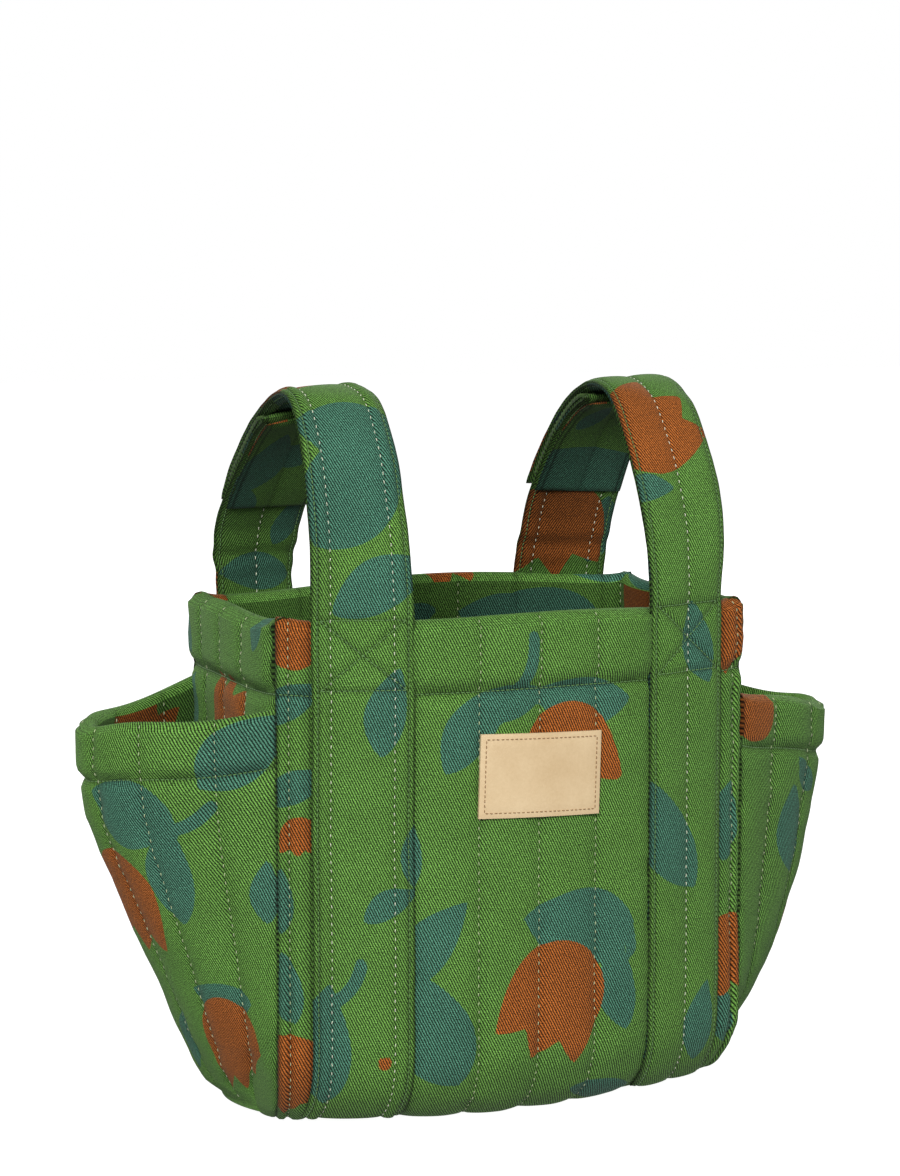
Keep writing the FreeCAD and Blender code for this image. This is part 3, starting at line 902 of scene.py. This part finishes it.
def strap_frames(sign, rails, thick):
    """Middle points, width and outward directions up a strap's band and along its rails, and lengths."""
    inset, height, _ = profile(3.0)
    keep = height > BAND_FOOT
    inset, height = inset[keep], height[keep]
    edges = []
    for x, rail in ((STRAP_IN - 0.5, rails[0]), (STRAP_OUT + 0.5, rails[1])):
        held = np.minimum(x, (HALF_WIDTH - inset * TUCK) * 0.985)
        band = front_at(held, inset, height)
        n = unit(np.gradient(band, axis=0))
        band = band + np.stack([0 * held, -n[:, 2], n[:, 1]], -1) * BAND_LIFT
        yz = curve_through(rail, 110)
        yz[:, 1] += CROWN_RISE * smooth(yz[:, 1], 300, 352)
        free = np.stack([np.full(len(yz), x), yz[:, 0], yz[:, 1]], -1)
        edges.append(np.concatenate([band, free]) * [sign, 1, 1])
    width = unit((edges[1] - edges[0]) * sign)
    middle, width, at = eased((edges[0] + edges[1]) / 2, width, 1.7)
    out = unit(np.cross(width, unit(np.gradient(middle, axis=0))))
    if out[:40, 1].mean() > 0:
        out = -out
    return middle - out * thick / 2, width, out, at


def eased(line, direction, step):
    """A line and its direction at even steps, with its corners eased, and the lengths along it."""
    along = lengths(line)
    even = np.linspace(0, along[-1], int(along[-1] / step) + 1)
    kernel = bell(np.arange(-6, 7), 3.6)
    kernel /= kernel.sum()
    found = []
    for k in (line, direction):
        k = at_places(k, along, even)
        k = np.vstack([2 * k[0] - k[6:0:-1], k, 2 * k[-1] - k[-2:-8:-1]])
        found.append(np.stack([np.convolve(row, kernel, "valid") for row in k.T], 1))
    return found[0], unit(found[1]), even


LIP = 2.6  # from a strap's edge to its topstitching


def strap_section(lines, thick, half):
    """(across, height) round a padded strap: the top face, a creased edge, the bottom, an edge."""
    stops = sorted({-half, -half + LIP, *lines, half - LIP, half})
    w = spread(stops, 1.5)
    body = channels(w, [-half + LIP, *lines, half - LIP])
    past = np.clip((np.abs(w) - half + LIP) / LIP, 0, 1)
    rise = (0.60 + 0.40 * body) * np.sqrt(1 - 0.72 * past**2.2)
    rise -= 0.10 * bell(np.abs(w) - half + LIP, 0.9)
    top = np.stack([w, thick / 2 * rise], 1)
    edge = np.array([[half + 0.45, thick * 0.13], [half - 0.1, 0.05]])
    left = edge[::-1] * [-1, 1]
    upper = np.vstack([left, top, edge])
    lower = upper[::-1] * [1, -1]
    return np.vstack([upper, lower])


BOX_IN = 3.6  # from a strap's edges to the corners of the box sewn at the rim
BOX_DROP, BOX_RISE = 2.5, 1.2  # its bottom over the hem line, and its top over the rim


def box_distance(w, along, rim_at):
    """Distance to the nearest line of the stitched box and cross that anchor a strap at the rim."""
    nearest = np.full(np.broadcast(w, along).shape, 50.0)
    for w0, s0, w1, s1 in box_lines(rim_at):
        dw, ds = w1 - w0, s1 - s0
        t = np.clip(((w - w0) * dw + (along - s0) * ds) / (dw**2 + ds**2), 0, 1)
        nearest = np.minimum(nearest, np.hypot(w - w0 - t * dw, along - s0 - t * ds))
    return nearest


def box_lines(rim_at):
    """The box's bottom, top and cross, each from (across, along) to (across, along)."""
    half, low, high = STRAP_HALF - BOX_IN, rim_at - HEM + BOX_DROP, rim_at + BOX_RISE
    return [(-half, a, half, b) for a, b in ((low, low), (high, high), (low, high), (high, low))]


def strap_points(frames, section, seed, rounded=True, rim_at=None):
    """The strap's grid, with its ends rounded where asked."""
    middle, width, out, at = frames
    w, h = section[:, 0], section[:, 1]
    taper = np.sqrt(np.clip(np.minimum(at, at[-1] - at) / 3.0, 0.04, 1)) if rounded else np.ones(len(at))
    crease = 0.35 * fractal(w[None] * 0.35, at[:, None], 17.0, seed, 2)
    side = np.sign(h)[None] * crease * (np.abs(h)[None] > 0.6)
    rise = (h[None] + side) * taper[:, None]
    if rim_at is not None:
        pressed = bell(box_distance(w[None], at[:, None], rim_at), 1.5)
        rise -= 1.15 * pressed * (h[None] > 0.3)
    drift = 0.5 * fractal(at, 0 * at, 60.0, seed + 3, 2)[:, None]
    across = width[:, None] * (w[None, :, None] + drift[..., None])
    return middle[:, None] + across + out[:, None] * rise[..., None]


def strap_piece(name, points, at, section, lines, outer, inner, bodies, replaced, rim_at=None):
    """A padded strap piece; at is its place on the printed cloth, and rim_at the rim's place there."""
    w = section[:, 0]
    n = len(w) // 2
    half = w.max() - 0.45
    sewn = np.minimum(half - np.abs(w), np.abs(half - LIP - np.abs(w)))
    seam = np.repeat(np.maximum(sewn, 0)[None], len(at), 0)
    seam = np.minimum(seam, np.minimum(at - at[0], at[-1] - at)[:, None] + 0.8)
    if rim_at is not None:
        box = box_distance(w[None, :n], at[:, None], rim_at)
        seam[:, :n] = np.minimum(seam[:, :n], box)
    quilted = np.repeat(line_distance(w, lines)[None], len(at), 0)
    if inner is not None:
        # Motifs on the inner face are given from its own middle.
        inner = [(shape, u + 2 * (w[n - 1] + 1), *rest) for shape, u, *rest in inner]
    round_u = np.concatenate([w[:n], 2 * w[n - 1] - w[n:] + 2, [2 * w[n - 1] - w[-1] + 4]])
    cloth = pairs(at, round_u)[..., ::-1]
    seams = np.stack([seam, quilted], -1)
    made = make_tube(name, points, cloth, CLOTH, outer, inner, n, seams, SHADED_UNDERSIDE)
    declare(made, bodies, replaced)


def section_index(section, across):
    """Where on a strap's section, over its upper face, the places across it are."""
    return 2 + index_at(across, section[2 : len(section) // 2 - 2, 0])


def sew_strap(name, side, points, at, section, lines, start, end, bodies):
    """Quilting lines and edge topstitching along both faces of a strap, between two places."""
    a0, a1 = index_at([start, end], at)
    a = np.linspace(a0 + 0.4, a1 - 0.4, max(12, int((end - start) / 2)))
    half = section[: len(section) // 2, 0].max() - 0.35
    quilt, tops = Threads(), Threads()
    for under in (False, True):
        for lot, threads, style in ((lines, quilt, QUILT), ([-half + LIP, half - LIP], tops, TOPSTITCH)):
            for line in lot:
                r = section_index(section, line)
                thread_on(threads, points, a, len(section) - 1 - r if under else r, style)
    declare(quilt.make(f"{name}_quilting_{side}", QUILT_THREAD), bodies)
    declare(tops.make(f"{name}_topstitch_{side}", GREEN_THREAD), bodies)


def sew_box(name, side, points, at, section, rim_at):
    """Sews the box and cross that anchor a strap between the hem's stitching and the rim."""
    box = Threads()
    t = np.linspace(0, 1, 40)
    for w0, s0, w1, s1 in box_lines(rim_at):
        r = section_index(section, w0 + (w1 - w0) * t)
        thread_on(box, points, index_at(s0 + (s1 - s0) * t, at), r, TOPSTITCH)
    made = box.make(f"{name}_box_stitching_{side}", GREEN_THREAD)
    declare(made, "root", [f"{name}_box_thread_{side}"])


ONE_LINE, TWO_LINES = [0.0], [-15.5, 15.0]  # quilting lines, across a strap
BACK_STRAP_PRINT = {
    "right": (("tulip", 6, 280, 172, 58), ("leaf", -17, 280, 5, 44), ("leaf", 4, 240, 80, 50)),
    "left": (("leaf", 2, 258, -84, 46), ("leaf", -14, 292, 15, 34), ("leaf", 0, 150, 20, 50)),
}
FACING_PRINT = {
    "right": (("leaf", 0, 10, 88, 80), ("leaf", 0, 20, 92, 74), ("leaf", 12, 62, 20, 30)),
    "left": (("leaf", 14, 40, 14, 52), ("leaf", 18, 6, -10, 34), ("leaf", -6, 44, 80, 40)),
}
FRONT_STRAP_PRINT = {
    "left": (
        ("broad", 1, 346, 84, 58), ("broad", 3, 313, -46, 72), ("leaf", 11, 266, -66, 56),
        ("leaf", 13, 207, -12, 44), ("leaf", 30, 138, -1, 42), ("leaf", 13, 113, -62, 30),
        ("leaf", -17, 45, 0, 62), ("stem", -7, 76, -33, 20), ("tulip", -20, 402, 40, 40),
        ("leaf", 12, 440, 20, 44), ("tulip", 10, 36, 0, 7),
    ),
    "right": (
        ("tulip", -8, 346, -52, 58), ("leaf", -20, 309, -86, 32), ("leaf", 8, 232, 16, 44),
        ("leaf", -11, 137, 29, 66), ("leaf", 12, 37, -6, 44), ("leaf", 10, 420, 30, 50),
        ("tulip", -12, 470, 10, 44),
    ),
}


def rim_place(frames):
    """How far along a strap the rim is."""
    height, at = frames[0][:, 2], frames[3]
    first = int(np.argmax(height > RIM))
    return float(np.interp(RIM, height[: first + 1], at[: first + 1]))


# Where each blend between two bodies starts and ends, in metres.
FRONT_BLEND = ((0, -0.083, 0.250), (0, -0.083, 0.284))
FLAP_BLEND = ((0, -0.010, 0.357), (0, 0.014, 0.350))
BACK_BLEND = ((0, 0.078, 0.250), (0, 0.078, 0.280))
FRONT_THICK, BACK_THICK, FACING_THICK = 6.2, 5.0, 3.4


def front_strap(side, sign):
    """The band, the standing strap and the flap: one length of strap, in two pieces."""
    lines = TWO_LINES if side == "left" else ONE_LINE
    section = strap_section(lines, FRONT_THICK, STRAP_HALF)
    frames = strap_frames(sign, FRONT_RAILS[side], FRONT_THICK)
    rim_at = rim_place(frames)
    points = strap_points(frames, section, 20.0 + sign, rim_at=rim_at)
    at = frames[3]
    crown = int(np.argmax((frames[0][:, 1] > -10) & (frames[0][:, 2] > RIM + 60)))
    strap, flap = f"front_strap_{side}", f"end_flap_{side}"
    pieces = (
        (strap, slice(crown + 1), ("root", strap, *FRONT_BLEND), 3, at[crown],
         ("front_band", "front_strap_cover", "front_strap_wadding")),
        (flap, slice(crown, None), (strap, flap, *FLAP_BLEND), at[crown], at[-1] - 3,
         ("end_flap_cover", "end_flap_wadding")),
    )
    for name, kept, bodies, _, _, nodes in pieces:
        strap_piece(name, points[kept], (at - rim_at + RIM)[kept], section, lines, FRONT_STRAP_PRINT[side],
                    None, bodies, [f"{node}_{side}" for node in nodes], RIM)
    for name, _, bodies, start, end, _ in pieces:
        sew_strap(name.removesuffix(f"_{side}"), side, points, at, section, lines, start, end, bodies)
    sew_box("front", side, points, at, section, rim_at)


def back_strap(side, sign):
    """The band and the tongue inside the loop: one length of strap."""
    lines = ONE_LINE if side == "left" else TWO_LINES
    section = strap_section(lines, BACK_THICK, STRAP_HALF)
    turned = [[(-y, z) for y, z in rail] for rail in BACK_RAILS[side]]
    middle, width, out, at = strap_frames(sign, turned, BACK_THICK)
    flip = [1, -1, 1]
    middle, width, out = middle * flip, width * flip, out * flip
    rim_at = rim_place((middle, width, out, at))
    # Soft folds where the strap bows out over the rim.
    bow = bell(at - rim_at - 17, 15) * np.sin((at - rim_at) * 0.40)
    frames = (middle + out * (0.9 * bow)[:, None], width, out, at)
    points = strap_points(frames, section, 40.0 + sign, rim_at=rim_at)
    name = f"back_strap_{side}"
    bodies = ("root", name, *BACK_BLEND)
    replaced = [f"{node}_{side}" for node in ("back_band", "back_strap_cover", "back_strap_wadding")]
    strap_piece(name, points, at - rim_at + RIM, section, lines, None, BACK_STRAP_PRINT[side], bodies,
                replaced, RIM)
    sew_strap("back_strap", side, points, at, section, lines, 3, at[-1] - 3, bodies)
    sew_box("back", side, points, at, section, rim_at)
    facing_and_tapes(side, sign, frames, rim_at)


def stretch(frames, first, last):
    """A stretch of a strap, with its own lengths from 0."""
    middle, width, out, at = (k[first : last + 1] for k in frames)
    return middle, width, out, at - at[0]


def facing_and_tapes(side, sign, frames, rim_at):
    """The tongue's turned-back end on its inner face, and the tapes between tongue and flap."""
    at = frames[3]
    first = int(np.searchsorted(at, rim_at + 54))
    middle, width, out, local = stretch(frames, first, len(at) - 1)
    section = strap_section(ONE_LINE, FACING_THICK, STRAP_HALF - 0.8)
    points = strap_points((middle - out * 3.7, width, out, local), section, 60.0 + sign)
    strap_piece(f"tongue_facing_{side}", points, local, section, ONE_LINE, None, FACING_PRINT[side],
                f"back_strap_{side}", [f"back_strap_facing_{side}"])
    middle, width, out, local = stretch(frames, first + 4, len(at) - 5)
    half = STRAP_HALF - 0.6
    w = np.linspace(-half, half, 30)
    w = np.concatenate([w, w[::-1]])
    section = np.stack([w, np.repeat([0.5, -0.5], 30)], 1)
    # The tapes' long edges are a little toothed.
    tooth = np.abs((local / 3.4) % 1 - 0.5) * 2 - 0.5
    edge = smooth(np.abs(w), half - 4, half) * np.sign(w)
    toothed = width[:, None] * (0.9 * tooth[:, None] * edge)[..., None]
    cloth = pairs(local, np.append(w, w[0]))
    for name, body, lift, material in (("hook", "back_strap", 2.6, HOOKS), ("loop", "end_flap", 3.6, LOOPS)):
        points = toothed + strap_points((middle + out * lift, width, out, local), section, 80.0, False)
        made = make_tube(f"{name}_strip_{side}", points, cloth, material)
        declare(made, f"{body}_{side}", [f"{name}_tape_{side}"])


for side, sign in SIDES:
    front_strap(side, sign)
    back_strap(side, sign)


# ---- the label ----
LABEL_LEAN = 0.03  # it is sewn on a little askew
LABEL_OUT = 2.6  # its back, over the panel's own surface
LABEL_SEAM = 2.6  # its stitching, in from its edges
LABEL_STITCH = {"pitch": 2.35, "share": 0.66, "radius": 0.26, "lift": 0.18, "wander": 0.05}


def label():
    low, high = box_mm("label")
    half_w, half_h = (high[0] - low[0]) / 2, (high[2] - low[2]) / 2
    middle_z = (low[2] + high[2]) / 2
    x, z = np.linspace(-half_w, half_w, 41), np.linspace(-half_h, half_h, 27)

    def face(lift, x, z):
        x, z = x + LABEL_LEAN * z, z - LABEL_LEAN * x
        y = front_at(x, 0.0, middle_z)[..., 1] - LABEL_OUT - lift
        return np.stack([x, y, middle_z + z], -1)

    xx, zz = np.meshgrid(x, z, indexing="ij")
    edge = np.minimum(half_w - np.abs(xx), half_h - np.abs(zz))
    lift = 1.5 - 0.5 * np.exp(-edge / 1.1) - 0.28 * bell(np.abs(edge - LABEL_SEAM), 0.9)
    lift = lift + 0.05 * fractal(xx, zz, 9.0, 90.0, 2)
    points = np.concatenate([face(lift, xx, zz), face(0 * lift - 0.4, xx, zz)[:, ::-1]], axis=1)
    cloth = pairs(x, np.concatenate([z, 2 * half_h - z[::-1] + half_h, [4 * half_h]]))
    declare(make_tube("leather_label", points, cloth, LEATHER), "root", ["label"])
    threads = Threads()
    inx, inz = half_w - LABEL_SEAM, half_h - LABEL_SEAM
    corners = ((-inx, inz), (inx, inz), (inx, -inz), (-inx, -inz), (-inx, inz))
    t = np.linspace(0, 1, 60)
    for (x0, z0), (x1, z1) in zip(corners, corners[1:]):
        line = face(1.35, x0 + (x1 - x0) * t, z0 + (z1 - z0) * t)
        threads.run(line, np.repeat([[0.0, -1.0, 0.0]], len(t), 0), **LABEL_STITCH)
    declare(threads.make("label_stitching", LABEL_THREAD), "root", ["label_thread"])


label()
declare(quilting.make("body_quilting", BODY_THREAD), "root")
declare(topstitch.make("body_topstitch", GREEN_THREAD), "root")


# ---- stage, light and camera ----
def stage():
    mesh = bpy.data.meshes.new("floor")
    mesh.from_pydata([(-8, -8, 0), (8, -8, 0), (8, 8, 0), (-8, 8, 0)], [], [(0, 1, 2, 3)])
    floor = placed("floor", mesh)
    mesh.materials.append(Look("floor").done(
        Base_Color=(0.35, 0.35, 0.35, 1), Emission_Color=(1, 1, 1, 1), Emission_Strength=0.97,
        Roughness=1.0, Specular_IOR_Level=0.0,
    ))
    floor.visible_diffuse = False  # it whitens the ground without lighting the bag from below
    world = bpy.data.worlds.new("studio")
    bpy.context.scene.world = world
    world.use_nodes = True
    nodes, links = world.node_tree.nodes, world.node_tree.links
    soft = nodes["Background"]
    soft.inputs[0].default_value = (0.95, 0.98, 1.0, 1)
    soft.inputs[1].default_value = 0.2
    white = nodes.new("ShaderNodeBackground")
    white.inputs[0].default_value = (1, 1, 1, 1)
    white.inputs[1].default_value = 1.0
    seen = nodes.new("ShaderNodeLightPath")
    mixed = nodes.new("ShaderNodeMixShader")
    links.new(seen.outputs["Is Camera Ray"], mixed.inputs[0])
    links.new(soft.outputs[0], mixed.inputs[1])
    links.new(white.outputs[0], mixed.inputs[2])
    links.new(mixed.outputs[0], nodes["World Output"].inputs[0])
    for name, place, size, power in (
        ("key", (-1.45, -2.35, 1.6), 0.9, 84),
        ("front", (0.8, -2.6, 1.1), 1.2, 20),
        ("top", (0.1, -0.3, 2.6), 1.2, 2),
        ("rear_left", (-1.2, 2.6, 1.2), 1.2, 26),
        ("rear_right", (1.9, 2.2, 1.3), 1.2, 42),
    ):
        light = bpy.data.lights.new(name, "AREA")
        light.size, light.energy = size, power
        lamp = placed(name, light)
        lamp.location = place
        lamp.rotation_euler = (Vector((0, 0, 0.18)) - Vector(place)).to_track_quat("-Z", "Y").to_euler()


def camera():
    azimuth, elevation, distance = math.radians(-23.1), math.radians(6.5), 1.5
    target = Vector((-0.0085, 0.0, 0.2549))
    away = Vector((
        math.sin(azimuth) * math.cos(elevation),
        -math.cos(azimuth) * math.cos(elevation),
        math.sin(elevation),
    ))
    data = bpy.data.cameras.new("camera")
    data.lens = 90.5
    made = placed("camera", data)
    made.location = target + away * distance
    made.rotation_euler = (-away).to_track_quat("-Z", "Y").to_euler()
    bpy.context.scene.camera = made


stage()
camera()
bpy.context.scene.view_settings.view_transform = "Standard"
